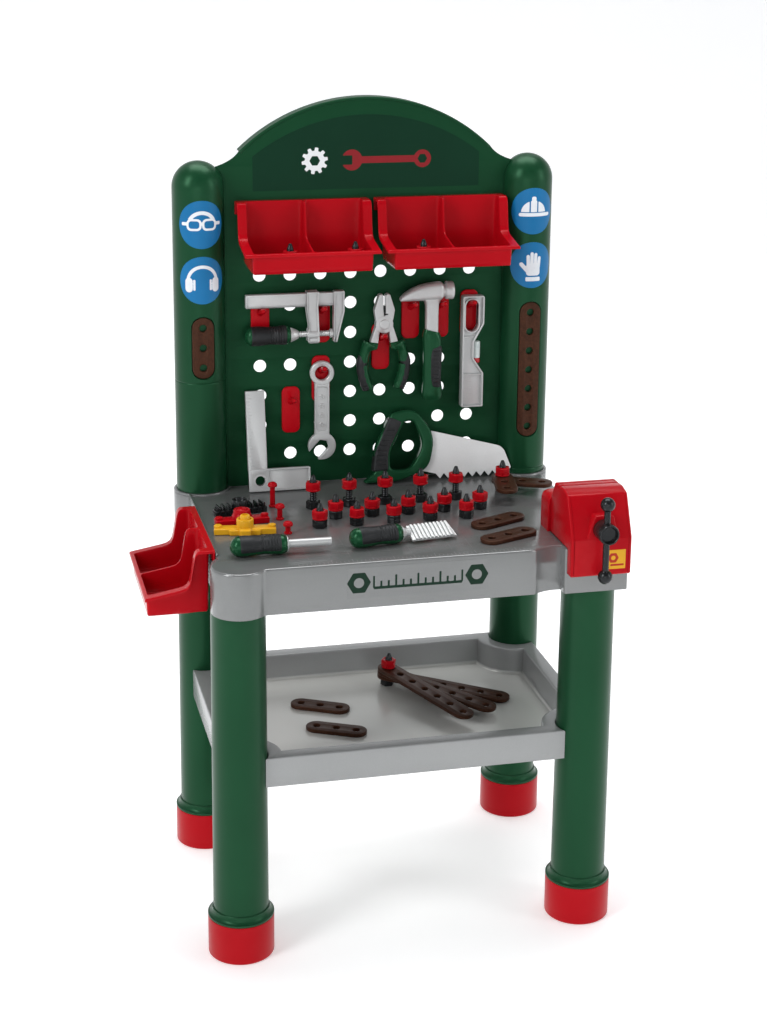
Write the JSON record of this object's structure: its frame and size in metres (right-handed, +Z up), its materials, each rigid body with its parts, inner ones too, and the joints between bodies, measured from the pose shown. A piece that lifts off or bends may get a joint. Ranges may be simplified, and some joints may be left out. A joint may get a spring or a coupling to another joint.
{
  "type": "toy workbench",
  "caption": "Toy workbench on round legs with shelf, peg board, hanging bins, vise with a screw, and hand tools, bolts, nuts and perforated strips.",
  "frame": {"origin": "middle of the outline on the floor, under the feet", "axes": "+X to the right seen from the front, +Y to the back where the peg board stands, +Z up"},
  "size_m": [0.5822, 0.4186, 1.0145],
  "materials": {
    "green": "dark green moulded plastic, satin gloss",
    "silver": "silver-grey metallic moulded plastic",
    "red": "bright red moulded plastic, glossy",
    "black": "black soft-touch plastic",
    "brown": "dark brown plastic, wood-like",
    "yellow": "golden yellow plastic",
    "chromed": "bright silver plastic, tool metal colour",
    "clear": "tinted vial, green and red"
  },
  "bodies": {
    "bench": {"back_board": "green", "post_left": "green", "post_right": "green", "tabletop": "silver", "shelf_tray": "silver", "leg_front_left": "green", "leg_front_right": "green", "leg_rear_left": "green", "leg_rear_right": "green", "foot_caps": "red", "foot_rings": "green", "tool_hooks": "red", "strips_short": "brown", "strips_long": "brown", "bolts": "black", "nuts": "red", "pins": "red", "wing_piece_yellow": "yellow", "wing_piece_red": "red", "wing_piece_black": "black", "vise_base": "red"},
    "left_bin": {"bin_left": "red", "bin_left_bolts": "black", "bin_left_nuts": "red"},
    "right_bin": {"bin_right": "red", "bin_right_bolts": "black", "bin_right_nuts": "red"},
    "side_bin": {"bin_side": "red"},
    "vise_moving_jaw": {"vise_jaw": "red"},
    "vise_spindle": {"vise_screw": "black"},
    "vise_bar": {"tommy_bar": "black"},
    "clamp_rail": {"clamp_frame": "chromed"},
    "clamp_slider": {"clamp_arm": "chromed"},
    "clamp_foot": {"clamp_pad": "chromed"},
    "clamp_spindle": {"clamp_screw": "chromed", "clamp_handle": "green", "clamp_grip": "black"},
    "pliers_rear_half": {"pliers_rear": "chromed", "pliers_handle_rear": "green", "pliers_grip_rear": "black"},
    "pliers_front_half": {"pliers_front": "chromed", "pliers_handle_front": "green", "pliers_grip_front": "black"},
    "hammer": {"hammer_head": "chromed", "hammer_handle": "green", "hammer_grip": "black"},
    "spirit_level": {"level_body": "chromed", "level_vial": "clear"},
    "spanner": {"wrench": "chromed"},
    "square": {"try_square": "chromed"},
    "saw": {"saw_blade": "chromed", "saw_handle": "green", "saw_grip": "black"},
    "nut_driver": {"driver_handle": "green", "driver_grip": "black", "driver_shaft": "chromed"},
    "rasp": {"rasp_handle": "green", "rasp_grip": "black", "rasp_blade": "chromed"}
  },
  "joints": [
    {"name": "left_bin_lift", "type": "slide", "parent": "bench", "child": "left_bin", "axis": [0, 0, 1], "range_m": [0, 0.025]},
    {"name": "right_bin_lift", "type": "slide", "parent": "bench", "child": "right_bin", "axis": [0, 0, 1], "range_m": [0, 0.025]},
    {"name": "side_bin_lift", "type": "slide", "parent": "bench", "child": "side_bin", "axis": [0, 0, 1], "range_m": [0, 0.025]},
    {"name": "vise_jaw_slide", "type": "slide", "parent": "bench", "child": "vise_moving_jaw", "axis": [0, -1, 0], "range_m": [0, 0.024]},
    {"name": "vise_screw_turn", "type": "hinge", "parent": "vise_moving_jaw", "child": "vise_spindle", "pos_m": [0.24825, -0.19775, 0.5346], "axis": [0, -1, 0], "range_deg": [0, 720]},
    {"name": "vise_bar_slide", "type": "slide", "parent": "vise_spindle", "child": "vise_bar", "axis": [0, 0, 1], "range_m": [-0.013, 0.033]},
    {"name": "clamp_unhook", "type": "slide", "parent": "bench", "child": "clamp_rail", "axis": [0, -0.9659, 0.2588], "range_m": [0, 0.045]},
    {"name": "clamp_arm_slide", "type": "slide", "parent": "clamp_rail", "child": "clamp_slider", "axis": [-1, 0, 0], "range_m": [0, 0.008]},
    {"name": "clamp_screw_feed", "type": "slide", "parent": "clamp_slider", "child": "clamp_foot", "axis": [-1, 0, 0], "range_m": [0, 0.012]},
    {"name": "clamp_screw_turn", "type": "hinge", "parent": "clamp_foot", "child": "clamp_spindle", "pos_m": [-0.06225, 0.14145, 0.71195], "axis": [-1, 0, 0], "range_deg": [0, 540]},
    {"name": "pliers_unhook", "type": "slide", "parent": "bench", "child": "pliers_rear_half", "axis": [0, -0.9659, 0.2588], "range_m": [0, 0.045]},
    {"name": "pliers_pivot", "type": "hinge", "parent": "pliers_rear_half", "child": "pliers_front_half", "pos_m": [0.05675, 0.14645, 0.71988], "axis": [0, 1, 0], "range_deg": [0, 14]},
    {"name": "hammer_unhook", "type": "slide", "parent": "bench", "child": "hammer", "axis": [0, -0.9659, 0.2588], "range_m": [0, 0.045]},
    {"name": "level_unhook", "type": "slide", "parent": "bench", "child": "spirit_level", "axis": [0, -0.9659, 0.2588], "range_m": [0, 0.045]},
    {"name": "wrench_unhook", "type": "slide", "parent": "bench", "child": "spanner", "axis": [0, -0.9659, 0.2588], "range_m": [0, 0.045]},
    {"name": "square_pull", "type": "slide", "parent": "bench", "child": "square", "axis": [0, -1, 0], "range_m": [0, 0.025]},
    {"name": "saw_pull", "type": "slide", "parent": "bench", "child": "saw", "axis": [0, -1, 0], "range_m": [0, 0.025]},
    {"name": "driver_lift", "type": "slide", "parent": "bench", "child": "nut_driver", "axis": [0, 0, 1], "range_m": [0, 0.03]},
    {"name": "rasp_lift", "type": "slide", "parent": "bench", "child": "rasp", "axis": [0, 0, 1], "range_m": [0, 0.03]}
  ],
  "couplings": [
    {"joint": "vise_screw_turn", "follows": "vise_jaw_slide", "rad_per_m": 523.5},
    {"joint": "clamp_screw_turn", "follows": "clamp_screw_feed", "rad_per_m": 785.3}
  ]
}
